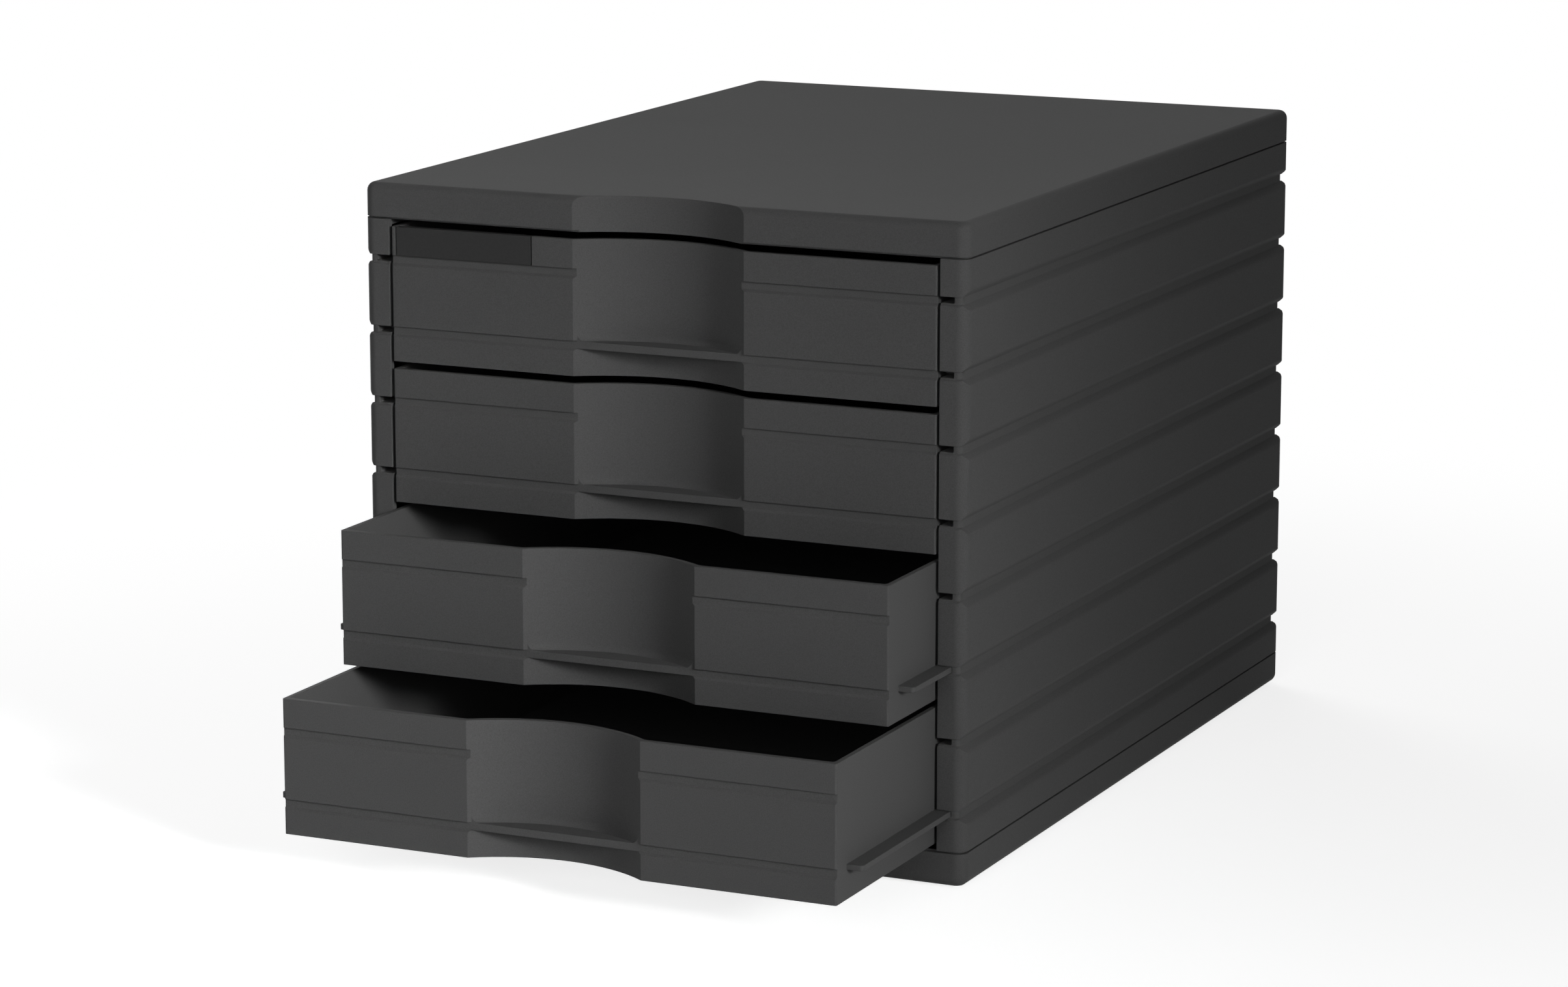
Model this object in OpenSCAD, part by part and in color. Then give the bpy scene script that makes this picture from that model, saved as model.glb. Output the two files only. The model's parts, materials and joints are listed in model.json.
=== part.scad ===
// Desktop drawer cabinet: a moulded lid and base, two ribbed side walls, a back panel and four
// drawers that slide on runner fins. Millimetres, +Z up. The origin is the centre of the base's
// underside, which the feet hold just off the desk. The front faces -Y and +X is to the right of
// someone who faces it.

/* [Cabinet] */
// Width over the two side walls
cabinet_w = 275; // [240:1:320]
// Depth from the front plane to the rear plane
cabinet_d = 390; // [350:1:430]
// Radius of the four upright corners
corner_r = 5; // [4.5:0.5:8]
// Wall thickness of the lid, base, side walls and back panel
wall_t = 2.5; // [2:0.1:3]

/* [Lid and base] */
// Height of the lid, and of the base, from its seam to its flat face
cap_h = 15; // [12:0.5:20]
// Rounding of the lid's upper edge
lid_edge_r = 3.6; // [2:0.1:4]
// Rounding of the base's lower edge
base_edge_r = 4; // [2:0.1:4.4]
// Height of the shadow line between a wall and the lid or base
seam_h = 0.8; // [0.3:0.05:1]
// Depth of the shadow line
seam_depth = 1.6; // [0.6:0.1:1.8]
// Thickness of the stiffening ribs inside the lid and base
rib_t = 2; // [1.5:0.1:3]
// Number of cross ribs in the lid and in the base
rib_count = 3; // [1:1:5]

/* [Side walls] */
// Width of the front jamb and the rear post, from the outer face inwards
post_w = 12; // [11:0.5:16]
// Thickness of the jamb's front plate
jamb_t = 3; // [2.6:0.1:5]
// Depth of the rear post from front to rear
rear_post_d = 10; // [9.5:0.5:14]
// Depth of the ribbing grooves in the side faces and around the rear corners
side_groove_depth = 2.6; // [1.5:0.1:3]
// Depth of the same grooves on the front of the jambs and on the back panel
face_groove_depth = 0.8; // [0.4:0.1:1.2]
// Height of the flat floor of every groove
groove_flat = 3.2; // [2.5:0.1:5]
// Rounding of the outward edges of the side grooves
groove_edge_r = 2; // [0.5:0.1:3]
// Inner rounding where a groove turns the front corner
groove_corner_r = 2.2; // [1:0.1:2.4]

/* [Runners] */
// Distance from a wall's outer face to the floor of its runner slots
slot_floor = 6; // [5.5:0.1:7]
// Height of a runner slot in the jamb
slot_h = 2.8; // [2.4:0.1:3.4]
// Rounding of the slot's lower outer corner
slot_corner_r = 0.7; // [0.3:0.1:1]
// Thickness of the rails above and below a runner channel
rail_t = 2; // [1.5:0.1:3]
// Clearance all round a runner fin in its slot
run_gap = 0.25; // [0.15:0.05:0.4]
// Distance from a drawer's front face to the front end of its fins
fin_setback = 9.8; // [6:0.1:20]
// Rounding of a fin's front outer corner
fin_corner_r = 1.5; // [0.5:0.1:3]
// Height of the stop nib on a fin
nib_h = 2; // [1.2:0.1:2.4]
// Length of the stop nib
nib_l = 12; // [6:1:20]
// Width of the stop nib
nib_w = 3; // [2:0.5:4]
// Travel of a drawer from shut to its stop
travel = 270; // [150:1:280]

/* [Drawers] */
// Height of a drawer
drawer_h = 57.25; // [50:0.25:70]
// Gap between one drawer and the next
drawer_gap = 3.25; // [1.5:0.25:5]
// Gap between the lid's seam and the first drawer
top_gap = 2.95; // [1.5:0.05:5]
// Gap between the last drawer and the base's seam
bottom_gap = 2.5; // [1:0.1:5]
// Gap between a jamb and the side of a drawer
side_gap = 1.3; // [0.6:0.1:3]
// Gap between a shut drawer and the rear post
shut_gap = 0.3; // [0.2:0.1:2]
// Thickness of a drawer's front wall
drawer_front_t = 2.6; // [2.2:0.1:4]
// Thickness of a drawer's side and rear walls
drawer_wall_t = 2.2; // [1.6:0.1:3]
// Thickness of a drawer's floor
drawer_floor_t = 2; // [1.5:0.1:3]
// Rounding of a drawer's upright front edges
drawer_front_r = 0.8; // [0.3:0.1:1.2]
// Rounding of a drawer's upright rear edges
drawer_rear_r = 4; // [1:0.5:8]
// Distance from a drawer's top to its upper front groove, which is level with a runner slot
groove_drop = 12.25; // [8:0.05:18]
// Depth of the grooves in a drawer's front
front_groove_depth = 1; // [0.5:0.1:1.2]

/* [Grip] */
// Width of the grip recess at the front plane
scoop_w = 78; // [50:1:110]
// Depth of the grip recess
scoop_d = 12.5; // [8:0.5:18]
// Radius of the flare where the recess wall comes down to the grip ledge
ledge_flare_r = 5; // [2:0.5:10]
// How far the flare reaches over the ledge
ledge_flare_d = 1.2; // [0.5:0.1:1.6]

/* [Label] */
// Width of the label plate
label_w = 63.4; // [40:0.1:75]
// Distance from the first drawer's left side to the label plate
label_inset = 2.4; // [1.5:0.1:6]
// Thickness of the label plate
label_t = 1; // [0.8:0.1:1.2]
// Thickness of the label card behind the plate
card_t = 0.3; // [0.2:0.05:0.4]
// Margin between the card's edge and the plate's edge
card_margin = 1; // [0.5:0.1:2]
// Gap at each end of the label plate
label_gap = 0.5; // [0.2:0.05:0.8]
// Height of the plate's clip behind the drawer's rim
clip_h = 7; // [4:0.5:9]
// Distance from each end of the plate to its clip
clip_inset = 4; // [3:0.5:12]

/* [Joints between the mouldings] */
// Thickness of a snap tab on a side wall
tab_t = 2.2; // [1.5:0.1:2.5]
// Length of a snap tab
tab_l = 20; // [10:1:40]
// Height of a snap tab beyond the seam
tab_h = 8; // [5:0.5:10]
// Number of snap tabs along each edge of a side wall
tab_count = 3; // [2:1:5]
// Clearance around a tab and around the back panel in their sockets
fit_gap = 0.2; // [0.1:0.05:0.3]
// Depth of the upright slot in a rear post that holds the back panel
panel_slot_depth = 4; // [3:0.5:5]

/* [Feet] */
// Diameter of a rubber foot
foot_d = 14; // [10:1:20]
// Height of a foot below the base
foot_proud = 1; // [0.5:0.1:3]
// Depth of a foot's seat in the base
foot_seat = 1; // [0.5:0.1:1.4]
// Distance from the cabinet's sides to a foot's centre
foot_inset_x = 26; // [18:1:50]
// Distance from the front and rear planes to a foot's centre
foot_inset_y = 34; // [18:1:60]
// Rounding of a foot's lower edge
foot_edge_r = 0.6; // [0.2:0.1:0.8]

/* [Pose] */
// How far the third drawer stands open
open_3 = 47; // [0:1:150]
// How far the fourth drawer stands open
open_4 = 97; // [0:1:150]

/* [Hidden] */
$fn = 96;
drawer_count = 4;
slots_per_drawer = 2;
slot_count = drawer_count * slots_per_drawer;
// How far a cutter runs past the face it cuts
over = 1;

front_y = -cabinet_d / 2;
rear_y = cabinet_d / 2;
drawer_pitch = drawer_h + drawer_gap;
slot_pitch = drawer_pitch / slots_per_drawer;
wall_h = top_gap + drawer_count * drawer_pitch - drawer_gap + bottom_gap;
wall_z0 = cap_h;
wall_z1 = wall_z0 + wall_h;

drawer_w = cabinet_w - 2 * (post_w + side_gap);
drawer_rear_y = rear_y - rear_post_d - shut_gap;
scoop_r = (scoop_w * scoop_w / 4 + scoop_d * scoop_d) / (2 * scoop_d);
scoop_y = front_y + scoop_d - scoop_r;
ledge_flare_h = sqrt(ledge_flare_d * (2 * ledge_flare_r - ledge_flare_d));
fin_t = slot_h - 2 * run_gap;
fin_edge = slot_floor + run_gap;
nib_y = front_y + jamb_t + travel + run_gap;

panel_rear_y = rear_y - side_groove_depth - wall_t - fit_gap;
panel_front_y = panel_rear_y - wall_t;
socket_rib = wall_t + fit_gap + tab_t + fit_gap;
label_x0 = -drawer_w / 2 + label_inset;
label_depth = label_t + card_t + 0.1;

graphite = "#454545";
graphite_top = "#4c4c4c";
smoke = "#2a2a2a";

// Height of a drawer's top edge and of a runner slot's top, both counted from 1
function drawer_top(n) = wall_z1 - top_gap - (n - 1) * drawer_pitch;
function slot_top(k) = wall_z1 - top_gap - groove_drop - (k - 1) * slot_pitch;

// A flat shape (a, b) drawn at x = a, z = b and extended along y
module along_y(y0, y1) {
    translate([0, y1, 0]) rotate([90, 0, 0]) linear_extrude(height = y1 - y0) children();
}

// A flat shape (a, b) drawn at y = a, z = b and extended along x
module along_x(x0, x1) {
    translate([x0, 0, 0]) rotate([90, 0, 90]) linear_extrude(height = x1 - x0) children();
}

// What has to go to round a square corner whose point is the origin and whose sides are +a and +b
module corner_waste(r) {
    difference() {
        translate([-over, -over]) square([r + over, r + over]);
        translate([r, r]) circle(r);
    }
}

// A rectangle about x = 0 with one radius at its front corners and another at its rear corners
module plan(w, y0, y1, r_front, r_rear) {
    difference() {
        translate([-w / 2, y0]) square([w, y1 - y0]);
        for (side = [0, 1]) mirror([side, 0]) {
            translate([-w / 2, y0]) corner_waste(r_front);
            translate([-w / 2, y1]) mirror([0, 1]) corner_waste(r_rear);
        }
    }
}

// The footprint of the lid and base, drawn in by a margin
module footprint(margin) {
    r = max(corner_r - margin, 1);
    plan(cabinet_w - 2 * margin, front_y + margin, rear_y - margin, r, r);
}

// The arc of the grip recess, grown by a wall
module scoop_circle(wall) {
    translate([0, scoop_y]) circle(scoop_r + wall, $fn = 192);
}

// A groove that opens towards -a: flat floor below b = 0, with a 45 degree slope under it
module face_groove(depth) {
    polygon([
        [-over, 0], [depth, 0], [depth, -groove_flat],
        [0, -groove_flat - depth], [-over, -groove_flat - depth]
    ]);
}

// A groove with a 45 degree flank above and below its floor, and softly rounded outward edges
module soft_groove(depth) {
    reach = groove_edge_r * (sqrt(2) - 1);
    flank_a = groove_edge_r * (1 - sqrt(0.5));
    low = -groove_flat - depth;
    difference() {
        polygon([
            [-over, depth + reach], [0, depth + reach], [flank_a, depth - flank_a], [depth, 0],
            [depth, -groove_flat], [flank_a, low + flank_a], [0, low - reach], [-over, low - reach]
        ]);
        translate([groove_edge_r, depth + reach]) circle(groove_edge_r);
        translate([groove_edge_r, low - reach]) circle(groove_edge_r);
    }
}

// ---------------------------------------------------------------- lid and base

// Cutter that rounds the outer edge of the face at z = cap_h
module edge_waste(r) {
    for (side = [0, 1]) mirror([side, 0, 0]) {
        along_y(front_y + corner_r, rear_y - corner_r)
            translate([-cabinet_w / 2, cap_h]) mirror([0, 1]) corner_waste(r);
        for (end = [0, 1]) mirror([0, end, 0])
            translate([-cabinet_w / 2 + corner_r, front_y + corner_r, 0])
                rotate([0, 0, 180]) rotate_extrude(angle = 90)
                    translate([corner_r, cap_h]) rotate(180) corner_waste(r);
    }
    for (end = [0, 1]) mirror([0, end, 0])
        along_x(-cabinet_w / 2 + corner_r, cabinet_w / 2 - corner_r)
            translate([front_y, cap_h]) mirror([0, 1]) corner_waste(r);
}

// Stiffening ribs, and the long ribs that hold the side walls' tabs against the skirt. All of them
// end level with the seam, and the long ones run into the skirt behind the shadow line.
module cap_ribs() {
    top_z = cap_h - wall_t / 2;
    end = (seam_depth + wall_t) / 2;
    for (side = [-1, 1])
        translate([side * (cabinet_w / 2 - socket_rib - rib_t / 2) - rib_t / 2, front_y + end, 0])
            cube([rib_t, cabinet_d - 2 * end, top_z]);
    for (i = [1 : rib_count])
        translate([
            -cabinet_w / 2 + socket_rib + rib_t / 2,
            front_y + i * cabinet_d / (rib_count + 1) - rib_t / 2,
            0
        ]) cube([cabinet_w - 2 * socket_rib - rib_t, rib_t, top_z]);
    translate([-cabinet_w / 2 + socket_rib + rib_t / 2, panel_front_y, 0])
        cube([cabinet_w - 2 * socket_rib - rib_t, wall_t, top_z]);
}

// The moulding of the lid, and turned over of the base: its seam is at z = 0 and its face on top
module cap(edge_r) {
    difference() {
        linear_extrude(height = cap_h) footprint(0);
        edge_waste(min(edge_r, corner_r - 0.4));
        // shadow line round the seam
        translate([0, 0, -over]) linear_extrude(height = seam_h + over) difference() {
            square([cabinet_w + 2 * over, cabinet_d + 2 * over], center = true);
            footprint(seam_depth);
        }
        // hollow inside, with a wall kept behind the grip recess
        translate([0, 0, -over]) linear_extrude(height = cap_h - wall_t + over) difference() {
            footprint(wall_t);
            scoop_circle(wall_t);
        }
        translate([0, 0, -over]) linear_extrude(height = cap_h + 2 * over) scoop_circle(0);
    }
    cap_ribs();
}

module lid() {
    color(graphite_top) translate([0, 0, wall_z1]) cap(lid_edge_r);
}

module base() {
    color(graphite) difference() {
        translate([0, 0, wall_z0]) mirror([0, 0, 1]) cap(base_edge_r);
        for (x = [-1, 1], y = [-1, 1])
            translate([x * (cabinet_w / 2 - foot_inset_x), y * (cabinet_d / 2 - foot_inset_y), -over])
                cylinder(h = foot_seat + over, d = foot_d + 2 * fit_gap);
    }
}

// ---------------------------------------------------------------- side walls

// Plan of a side wall, with its outer face on x = 0
module side_plan() {
    difference() {
        translate([0, front_y]) square([post_w, cabinet_d]);
        translate([0, front_y]) corner_waste(corner_r);
        translate([0, rear_y]) mirror([0, 1]) corner_waste(corner_r);
    }
}

// Web behind a groove and the two rails of the runner channel, about the slot's top at z = 0
module runner_channel() {
    channel_top = nib_h + rail_t;
    channel_bottom = -slot_h - rail_t;
    web_bottom = min(channel_bottom, -groove_flat - side_groove_depth) - 0.4;
    translate([wall_t / 2, web_bottom]) square([slot_floor - wall_t / 2, channel_top - web_bottom]);
    translate([slot_floor - over, nib_h]) square([post_w - slot_floor + over, rail_t]);
    translate([slot_floor - over, channel_bottom]) square([post_w - slot_floor + over, rail_t]);
}

// Mouth of a runner slot in the jamb, with its top at z = 0 and its lower outer corner rounded
module slot_mouth() {
    difference() {
        translate([slot_floor, -slot_h]) square([post_w - slot_floor + over, slot_h]);
        translate([slot_floor, -slot_h]) corner_waste(min(slot_corner_r, 3 * run_gap));
    }
}

// The groove round a wall at one slot: side face, jamb front and rear post
module wall_groove() {
    along_y(front_y - over, rear_y + over) soft_groove(side_groove_depth);
    along_x(-over, post_w + over) translate([front_y, 0]) face_groove(face_groove_depth);
    translate([0, rear_y, 0]) mirror([0, 1, 0])
        along_x(-over, post_w + over) soft_groove(side_groove_depth);
    // rounded inner corners at the front and at the rear
    translate([0, 0, -groove_flat]) linear_extrude(height = groove_flat) {
        translate([side_groove_depth, front_y + face_groove_depth]) corner_waste(groove_corner_r);
        translate([side_groove_depth, rear_y - side_groove_depth]) mirror([0, 1])
            corner_waste(max(corner_r - side_groove_depth, 1));
    }
}

// Snap tabs that stand up from z = 0
module tabs() {
    for (i = [1 : tab_count])
        translate([wall_t + fit_gap, front_y + (i - 0.5) * cabinet_d / tab_count - tab_l / 2, -wall_t / 2])
            cube([tab_t, tab_l, tab_h + wall_t / 2]);
}

module side_wall() {
    color(graphite) translate([-cabinet_w / 2, 0, 0]) {
        difference() {
            union() {
                translate([0, 0, wall_z0]) linear_extrude(height = wall_h) difference() {
                    side_plan();
                    translate([wall_t, front_y + jamb_t])
                        square([post_w, cabinet_d - jamb_t - rear_post_d]);
                }
                for (z = [wall_z0, wall_z1 - wall_t])
                    translate([0, 0, z]) linear_extrude(height = wall_t) side_plan();
                for (k = [1 : slot_count])
                    along_y(front_y + jamb_t - 0.5, rear_y - rear_post_d + 0.5)
                        translate([0, slot_top(k)]) runner_channel();
            }
            for (k = [1 : slot_count]) translate([0, 0, slot_top(k)]) {
                wall_groove();
                along_y(front_y - over, front_y + jamb_t + over) slot_mouth();
            }
            // slot for the back panel, open at the top and at the bottom
            translate([post_w - panel_slot_depth, panel_front_y - fit_gap, wall_z0 - over])
                cube([panel_slot_depth + over, wall_t + 2 * fit_gap, wall_h + 2 * over]);
        }
        translate([0, 0, wall_z1]) tabs();
        translate([0, 0, wall_z0]) mirror([0, 0, 1]) tabs();
    }
}

module left_side() {
    side_wall();
}

module right_side() {
    mirror([1, 0, 0]) side_wall();
}

module back_panel() {
    half_w = cabinet_w / 2 - post_w + panel_slot_depth - fit_gap;
    color(graphite) difference() {
        translate([-half_w, panel_front_y, wall_z0]) cube([2 * half_w, wall_t, wall_h - fit_gap]);
        for (k = [1 : slot_count])
            translate([0, panel_rear_y, slot_top(k)]) mirror([0, 1, 0])
                along_x(-half_w - over, half_w + over) face_groove(face_groove_depth);
    }
}

// ---------------------------------------------------------------- drawers

// Outline of a drawer, with the grip recess out of it
module drawer_outline() {
    difference() {
        plan(drawer_w, front_y, drawer_rear_y, drawer_front_r, drawer_rear_r);
        scoop_circle(0);
    }
}

// Outline of a drawer's inside
module drawer_inside() {
    difference() {
        plan(drawer_w - 2 * drawer_wall_t, front_y + drawer_front_t, drawer_rear_y - drawer_wall_t,
            1, max(drawer_rear_r - drawer_wall_t, 1));
        scoop_circle(drawer_front_t);
    }
}

// The shelf across the grip recess that a finger pulls on, with its top at z = 0
module grip_ledge() {
    ledge_front_y = front_y + front_groove_depth;
    translate([0, 0, -groove_flat]) linear_extrude(height = groove_flat) intersection() {
        scoop_circle(drawer_front_t / 2);
        translate([-scoop_w, ledge_front_y]) square([2 * scoop_w, 2 * scoop_d]);
    }
    intersection() {
        translate([0, scoop_y, 0]) rotate_extrude($fn = 192)
            translate([scoop_r, 0]) mirror([1, 0]) difference() {
                translate([-drawer_front_t / 2, -groove_flat / 2])
                    square([drawer_front_t / 2 + ledge_flare_d, groove_flat / 2 + ledge_flare_h]);
                translate([ledge_flare_r, ledge_flare_h]) circle(ledge_flare_r);
            }
        translate([-scoop_w, ledge_front_y, -groove_flat])
            cube([2 * scoop_w, 2 * scoop_d, groove_flat + ledge_flare_h]);
    }
}

// A runner fin and its stop nib on the left side, with the slot's top at z = 0
module fin() {
    fin_x0 = -cabinet_w / 2 + fin_edge;
    fin_x1 = -drawer_w / 2 + drawer_wall_t / 2;
    translate([0, 0, -run_gap - fin_t]) linear_extrude(height = fin_t) difference() {
        translate([fin_x0, front_y + fin_setback])
            square([fin_x1 - fin_x0, drawer_rear_y - front_y - fin_setback - drawer_rear_r]);
        translate([fin_x0, front_y + fin_setback]) corner_waste(fin_corner_r);
    }
    translate([fin_x0, nib_y, -run_gap - fin_t / 2]) cube([nib_w, nib_l, fin_t / 2 + nib_h]);
}

// One drawer, shut. The label's recess is cut only where it is asked for.
module drawer(n, labelled) {
    bottom_z = drawer_top(n) - drawer_h;
    difference() {
        translate([0, 0, bottom_z]) linear_extrude(height = drawer_h) drawer_outline();
        translate([0, 0, bottom_z + drawer_floor_t]) linear_extrude(height = drawer_h) drawer_inside();
        for (i = [0 : slots_per_drawer - 1])
            translate([0, front_y, drawer_top(n) - groove_drop - i * slot_pitch])
                along_x(-drawer_w / 2 - over, drawer_w / 2 + over) face_groove(front_groove_depth);
        if (labelled) {
            translate([label_x0 - label_gap, front_y - over, drawer_top(n) - groove_drop])
                cube([label_w + 2 * label_gap, label_depth + over, groove_drop + over]);
            translate([label_x0 - label_gap, front_y - over, drawer_top(n) - label_t])
                cube([label_w + 2 * label_gap, drawer_front_t + 2 * over, label_t + over]);
        }
    }
    translate([0, 0, drawer_top(n) - groove_drop - slot_pitch]) {
        grip_ledge();
        fin();
        mirror([1, 0, 0]) fin();
    }
}

module drawer_1() {
    color(graphite) drawer(1, true);
}

module drawer_2() {
    color(graphite) drawer(2, false);
}

module drawer_3() {
    color(graphite) translate([0, -open_3, 0]) drawer(3, false);
}

module drawer_4() {
    color(graphite) translate([0, -open_4, 0]) drawer(4, false);
}

// Dark strip over the first drawer's upper band, clipped over the rim
module label_plate() {
    top_z = drawer_top(1);
    clip_y = front_y + drawer_front_t;
    color(smoke) {
        translate([label_x0, front_y, top_z - groove_drop]) cube([label_w, label_t, groove_drop]);
        translate([label_x0, front_y, top_z - label_t]) cube([label_w, drawer_front_t, label_t]);
        translate([label_x0 + clip_inset, clip_y - over, top_z - label_t])
            cube([label_w - 2 * clip_inset, label_t + over, label_t]);
        translate([label_x0 + clip_inset, clip_y, top_z - clip_h])
            cube([label_w - 2 * clip_inset, label_t, clip_h]);
    }
}

module label_card() {
    color("#303030")
        translate([label_x0 + card_margin, front_y + label_depth - card_t, drawer_top(1) - groove_drop + card_margin])
            cube([label_w - 2 * card_margin, card_t, groove_drop - label_t - 2 * card_margin]);
}

// ---------------------------------------------------------------- feet

// A rubber foot seated in the base, side and end are -1 or 1
module foot(side, end) {
    r = foot_d / 2;
    color("#202020")
        translate([side * (cabinet_w / 2 - foot_inset_x), end * (cabinet_d / 2 - foot_inset_y), -foot_proud])
            rotate_extrude() difference() {
                square([r, foot_proud + foot_seat]);
                translate([r, 0]) mirror([1, 0]) corner_waste(min(foot_edge_r, foot_proud));
            }
}

module foot_front_left() {
    foot(-1, -1);
}

module foot_front_right() {
    foot(1, -1);
}

module foot_rear_left() {
    foot(-1, 1);
}

module foot_rear_right() {
    foot(1, 1);
}

lid();
base();
left_side();
right_side();
back_panel();
drawer_1();
drawer_2();
drawer_3();
drawer_4();
label_plate();
label_card();
foot_front_left();
foot_front_right();
foot_rear_left();
foot_rear_right();
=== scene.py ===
"""Looks of a graphite desktop drawer cabinet: moulded ABS housing and drawers, a smoked label strip and
rubber feet. Every form is the CAD model's own. The finishes, floor, lamps and camera are made here."""

import json
import math

import bpy
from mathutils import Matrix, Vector


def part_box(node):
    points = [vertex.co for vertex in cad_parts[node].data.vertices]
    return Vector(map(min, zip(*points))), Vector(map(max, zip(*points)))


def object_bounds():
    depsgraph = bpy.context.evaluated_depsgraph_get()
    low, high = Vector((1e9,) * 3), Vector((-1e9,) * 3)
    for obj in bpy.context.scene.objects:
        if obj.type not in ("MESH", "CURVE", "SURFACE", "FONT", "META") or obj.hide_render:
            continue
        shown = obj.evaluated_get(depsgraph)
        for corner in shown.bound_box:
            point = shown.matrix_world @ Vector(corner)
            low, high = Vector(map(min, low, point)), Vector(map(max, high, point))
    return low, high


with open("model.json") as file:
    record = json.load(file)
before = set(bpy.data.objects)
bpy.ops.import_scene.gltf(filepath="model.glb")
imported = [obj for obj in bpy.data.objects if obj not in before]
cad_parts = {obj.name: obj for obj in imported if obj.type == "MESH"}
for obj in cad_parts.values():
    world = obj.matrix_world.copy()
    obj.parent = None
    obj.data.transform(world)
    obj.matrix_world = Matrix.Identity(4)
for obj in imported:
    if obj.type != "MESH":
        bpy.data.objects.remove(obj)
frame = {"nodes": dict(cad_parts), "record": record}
cad_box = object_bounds()

MM = 0.001

# The photograph's view, in metres and degrees. The camera stands 2.2 m away, turned left and tilted down,
# with a long lens. It has no shift, so the outer uprights lean by about a degree; in the photograph they
# are parallel.
CAMERA_PLACE = (0.8747, -1.9687, 0.5653)
CAMERA_TURN = 24.75
CAMERA_TILT = 11.785
SENSOR_MM = 36.0
# Width of the photograph and focal length of its lens, both in pixels
PHOTO_WIDTH = 2408
FOCAL_LENGTH = 7512.8

# Shades of the finishes as sRGB hex: each is a soft mottle between a darker and a paler one
GRAPHITE = ("#424242", "#4e4e4e")
# Painted light: the lid's flat face is painted paler, as if it caught more light than its rounded rim
LID_FACE_PAINTED_LIGHT = ("#4a4a4a", "#565656")
SMOKE = ("#2b2b2b", "#2f2f2f")
CARD = ("#2a2a2a", "#303030")
RUBBER = ("#181818", "#1e1e1e")

# Spark-eroded grain of the ABS mouldings, drawn coarser than the real one so that it just shows
ABS_GRAIN = 0.45 * MM
ABS_ROUGHNESS = 0.75
# Height of the grain, and how strongly it tilts the surface
GRAIN_DEPTH = 0.06 * MM
GRAIN_STRENGTH = 0.35
# The grain scatters most of the gloss of bare plastic
MATTE_GLOSS = 0.1
PLASTIC_IOR = 1.5

# Width of the faint clouds that flow leaves across a large moulded face, and their share of the mottle
CLOUD = 60 * MM
CLOUD_SHARE = 0.12

# Radius that the moulding tool leaves on every sharp edge
EDGE = 0.45 * MM

# The lid's flat face, painted paler as painted light, starts this far under its highest point
FACE_DEPTH = 0.02 * MM

# The floor's side in metres, its colour in the light, its colour and glow as the camera sees it near the
# object, and the distances from the middle between which that fades into the white backdrop
FLOOR_SIZE = 14
FLOOR = "#f4f4f4"
FLOOR_SHADED = "#d4d4d4"
FLOOR_GLOW = 0.8
FADE_START = 0.32
FADE_END = 0.8

# Strength of the even light from all round
AMBIENT = 0.05

# The middle of the cabinet, which the lamps stand round, and the point left of the front that the key
# lamp is turned to, so that its beam falls off along the right side wall
MIDDLE = (0, -0.03, 0.14)
KEY_AIM = (-0.28, -0.46, 0.13)

WHITE = (1, 1, 1, 1)


def linear(hex_colour):
    """An sRGB hex colour as linear RGBA."""
    channels = [int(hex_colour[i:i + 2], 16) / 255 for i in (1, 3, 5)]
    return [c / 12.92 if c <= 0.04045 else ((c + 0.055) / 1.055) ** 2.4 for c in channels] + [1.0]


# ---------------------------------------------------------------- materials

def add_node(tree, kind, inputs=None, **properties):
    """Adds a node with its properties. Its inputs, by name or number, are linked to a socket or set."""
    node = tree.nodes.new(kind)
    for name, value in properties.items():
        setattr(node, name, value)
    for name, value in (inputs or {}).items():
        if isinstance(value, bpy.types.NodeSocket):
            tree.links.new(value, node.inputs[name])
        else:
            node.inputs[name].default_value = value
    return node


def new_material(name):
    """An empty node material and its tree."""
    material = bpy.data.materials.new(name)
    material.use_nodes = True
    material.node_tree.nodes.clear()
    return material, material.node_tree


def mottle(tree, factor, shades):
    """A soft ramp between a darker and a paler shade."""
    ramp = add_node(tree, "ShaderNodeValToRGB", {"Fac": factor})
    for element, position, shade in zip(ramp.color_ramp.elements, (0.3, 0.7), shades):
        element.position = position
        element.color = linear(shade)
    return ramp.outputs["Color"]


def colour_above(tree, place, height, under, over):
    """One colour up to a height of the part and another above it."""
    axes = add_node(tree, "ShaderNodeSeparateXYZ", {"Vector": place})
    above = add_node(tree, "ShaderNodeMath", {0: axes.outputs["Z"], 1: height}, operation="GREATER_THAN")
    both = add_node(tree, "ShaderNodeMix", {"Factor": above.outputs[0], 6: under, 7: over}, data_type="RGBA")
    return both.outputs[2]


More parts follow.
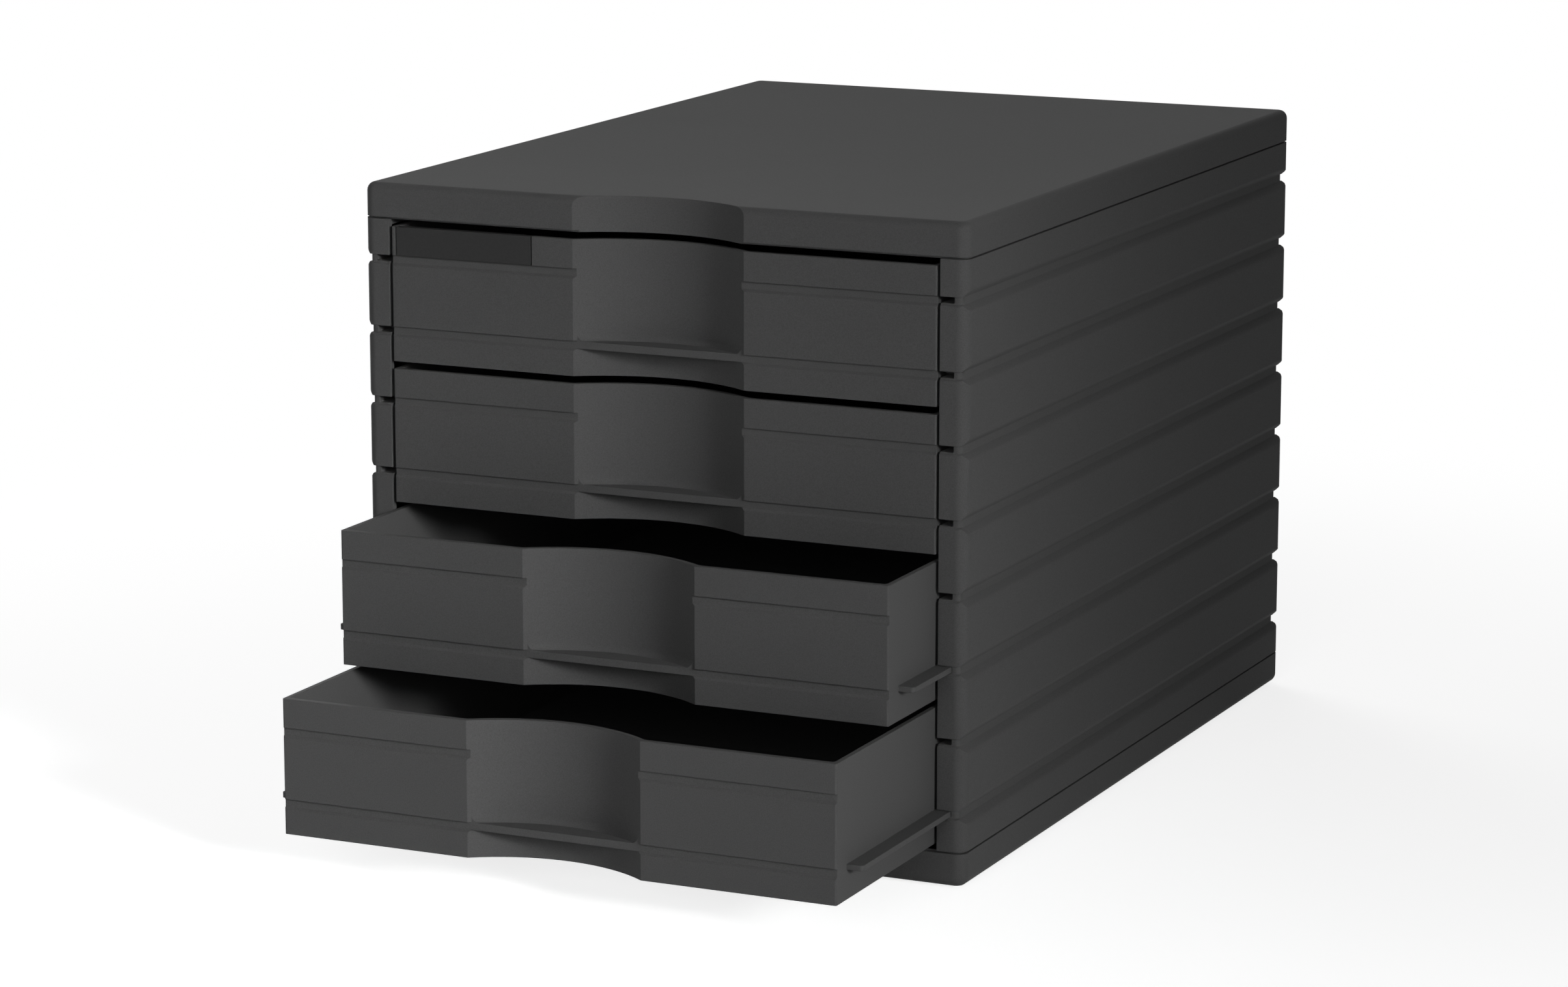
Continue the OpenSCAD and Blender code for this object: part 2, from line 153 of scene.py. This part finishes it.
def moulded(name, shades, grain, roughness, face_height=None, painted_lit_face_shades=None):
    """A moulded surface: matte, with a dense even grain that softens every reflection, and a very slight
    unevenness of shade across a large face. A face above the given height gets paler shades: painted light,
    for a face lit more brightly than the rest."""
    material, tree = new_material(name)
    place = add_node(tree, "ShaderNodeTexCoord").outputs["Object"]
    cloud = add_node(tree, "ShaderNodeTexNoise", {"Vector": place, "Scale": 1 / CLOUD, "Detail": 2.0})
    grit = add_node(
        tree, "ShaderNodeTexNoise",
        {"Vector": place, "Scale": 1 / grain, "Detail": 3.0, "Roughness": 0.6},
    )
    uneven = add_node(
        tree, "ShaderNodeMix",
        {"Factor": CLOUD_SHARE, "A": grit.outputs["Fac"], "B": cloud.outputs["Fac"]},
    ).outputs["Result"]
    colour = mottle(tree, uneven, shades)
    # Painted light: the face above the height is painted in paler shades, as if lit more brightly
    if painted_lit_face_shades:
        colour = colour_above(tree, place, face_height, colour, mottle(tree, uneven, painted_lit_face_shades))
    rounded = add_node(tree, "ShaderNodeBevel", {"Radius": EDGE}, samples=6)
    bump = add_node(
        tree, "ShaderNodeBump",
        {
            "Height": grit.outputs["Fac"],
            "Normal": rounded.outputs["Normal"],
            "Strength": GRAIN_STRENGTH,
            "Distance": GRAIN_DEPTH,
        },
    )
    surface = add_node(
        tree, "ShaderNodeBsdfPrincipled",
        {
            "Base Color": colour,
            "Normal": bump.outputs["Normal"],
            "Roughness": roughness,
            "IOR": PLASTIC_IOR,
            "Specular IOR Level": MATTE_GLOSS,
        },
    )
    add_node(tree, "ShaderNodeOutputMaterial", {"Surface": surface.outputs["BSDF"]})
    return material


# Graphite ABS against a fine spark-eroded tool: dark, matte and even, on the walls, base and drawers
graphite_abs = moulded("graphite_abs_fine_grain", GRAPHITE, ABS_GRAIN, ABS_ROUGHNESS)
# The same plastic for the lid, whose flat face is painted a little paler than its rounded rim: painted
# light, for the brighter light its flat top catches
lid_abs_painted_lit_face = moulded(
    "graphite_abs_lid_painted_lit_face", GRAPHITE, ABS_GRAIN, ABS_ROUGHNESS,
    face_height=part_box("lid")[1].z - FACE_DEPTH, painted_lit_face_shades=LID_FACE_PAINTED_LIGHT,
)
# Dark see-through polystyrene over a dark card: it reads as one near-black satin strip
smoked_label = moulded("smoked_polystyrene_label_strip", SMOKE, grain=0.8 * MM, roughness=0.5)
# Uncoated dark card, dull all over
card_stock = moulded("dark_label_card", CARD, grain=0.3 * MM, roughness=0.9)
# Black rubber, duller than the plastic above it
foot_rubber = moulded("black_foot_rubber", RUBBER, grain=0.6 * MM, roughness=0.85)

SLOT_MATERIALS = {
    "graphite_abs": graphite_abs,
    "smoke_label": smoked_label,
    "label_card": card_stock,
    "foot_rubber": foot_rubber,
}
SLOT_OF = {subpart["node"]: subpart["material_slot"] for subpart in frame["record"]["subparts"]}


# ---------------------------------------------------------------- pieces

# Every CAD node keeps its shape and takes its finish in its material slots
for node, piece in frame["nodes"].items():
    finish = lid_abs_painted_lit_face if node == "lid" else SLOT_MATERIALS[SLOT_OF[node]]
    if not piece.material_slots:
        piece.data.materials.append(finish)
    for slot in piece.material_slots:
        slot.material = finish


# ---------------------------------------------------------------- stage, light and camera

def seen_or_mirrored(tree):
    """1 for what the camera sees, straight or through gloss or glass, and 0 for light that only
    illuminates."""
    path = add_node(tree, "ShaderNodeLightPath")
    seen = path.outputs["Is Camera Ray"]
    for way in ("Is Glossy Ray", "Is Transmission Ray"):
        either = add_node(tree, "ShaderNodeMath", {0: seen, 1: path.outputs[way]}, operation="MAXIMUM")
        seen = either.outputs[0]
    return seen


def mix(tree, factor, first, second):
    """The first shader where the factor is 0 and the second where it is 1."""
    return add_node(tree, "ShaderNodeMixShader", {0: factor, 1: first.outputs[0], 2: second.outputs[0]})


def floor():
    """A matte white floor. It keeps the soft shadow of the object and fades into the white backdrop."""
    bpy.ops.mesh.primitive_plane_add(size=FLOOR_SIZE, location=(0, 0, cad_box[0][2]))
    plane = bpy.context.view_layer.objects.active
    plane.name = "floor"
    material, tree = new_material("matte_white_floor")
    paint = add_node(tree, "ShaderNodeBsdfDiffuse", {"Color": linear(FLOOR)})
    shaded = add_node(tree, "ShaderNodeBsdfDiffuse", {"Color": linear(FLOOR_SHADED)})
    glow = add_node(tree, "ShaderNodeEmission", {"Color": WHITE, "Strength": FLOOR_GLOW})
    near = add_node(tree, "ShaderNodeAddShader", {0: shaded.outputs[0], 1: glow.outputs[0]})
    far = add_node(tree, "ShaderNodeEmission", {"Color": WHITE, "Strength": 1.0})
    place = add_node(tree, "ShaderNodeTexCoord").outputs["Object"]
    reach = add_node(tree, "ShaderNodeVectorMath", {"Vector": place}, operation="LENGTH")
    fade = add_node(
        tree, "ShaderNodeMapRange",
        {"Value": reach.outputs["Value"], "From Min": FADE_START, "From Max": FADE_END},
        interpolation_type="SMOOTHSTEP",
    )
    seen = mix(tree, fade.outputs["Result"], near, far)
    surface = mix(tree, seen_or_mirrored(tree), paint, seen)
    add_node(tree, "ShaderNodeOutputMaterial", {"Surface": surface.outputs[0]})
    plane.data.materials.append(material)


def room():
    """White behind the object, and a weaker even light from all round."""
    world = bpy.data.worlds.new("studio")
    bpy.context.scene.world = world
    world.use_nodes = True
    tree = world.node_tree
    tree.nodes.clear()
    light = add_node(tree, "ShaderNodeBackground", {"Color": WHITE, "Strength": AMBIENT})
    backdrop = add_node(tree, "ShaderNodeBackground", {"Color": WHITE, "Strength": 1.0})
    surface = mix(tree, seen_or_mirrored(tree), light, backdrop)
    add_node(tree, "ShaderNodeOutputWorld", {"Surface": surface.outputs[0]})


def softbox(name, turn, lift, distance, size, power, aim=MIDDLE, spread=180):
    """A studio lamp at a turn from the front towards the right and a lift above level, both in degrees
    about the middle of the cabinet, pointed at an aim. A honeycomb grid narrows its spread."""
    data = bpy.data.lights.new(name, "AREA")
    data.shape = "RECTANGLE"
    data.size, data.size_y = size
    data.energy = power
    data.spread = math.radians(spread)
    lamp = bpy.data.objects.new(name, data)
    bpy.context.scene.collection.objects.link(lamp)
    turn, lift = math.radians(turn), math.radians(lift)
    way = Vector((math.sin(turn) * math.cos(lift), -math.cos(turn) * math.cos(lift), math.sin(lift)))
    lamp.location = Vector(MIDDLE) + distance * way
    lamp.rotation_euler = (Vector(aim) - lamp.location).to_track_quat("-Z", "Y").to_euler()


def photo_camera():
    """The photograph's viewpoint and angle of view."""
    data = bpy.data.cameras.new("photo_camera")
    data.sensor_width = SENSOR_MM
    data.sensor_fit = "HORIZONTAL"
    data.lens = FOCAL_LENGTH / PHOTO_WIDTH * SENSOR_MM
    data.clip_end = 50
    camera = bpy.data.objects.new("photo_camera", data)
    bpy.context.scene.collection.objects.link(camera)
    camera.location = CAMERA_PLACE
    camera.rotation_euler = (math.radians(90 - CAMERA_TILT), 0, math.radians(CAMERA_TURN))
    bpy.context.scene.camera = camera


floor()
room()
# Gridded lamp on the right, for the fronts, the open drawers' sides and the near end of the side wall
softbox("key", turn=58, lift=16, distance=3.0, size=(0.6, 0.6), power=2.5, aim=KEY_AIM, spread=21)
# Broad lamp before the cabinet, for all the fronts
softbox("front", turn=8, lift=15, distance=2.6, size=(1.1, 0.6), power=12.3)
# Low strip behind on the left, for that side and the back, hardly higher than the lid, which it spares
softbox("rim", turn=-128, lift=1, distance=2.0, size=(1.2, 0.22), power=28)
# High lamp behind, for the lid's face
softbox("rear", turn=-145, lift=42, distance=2.2, size=(1.2, 1.2), power=3.8)
photo_camera()
bpy.context.scene.view_settings.view_transform = "Standard"
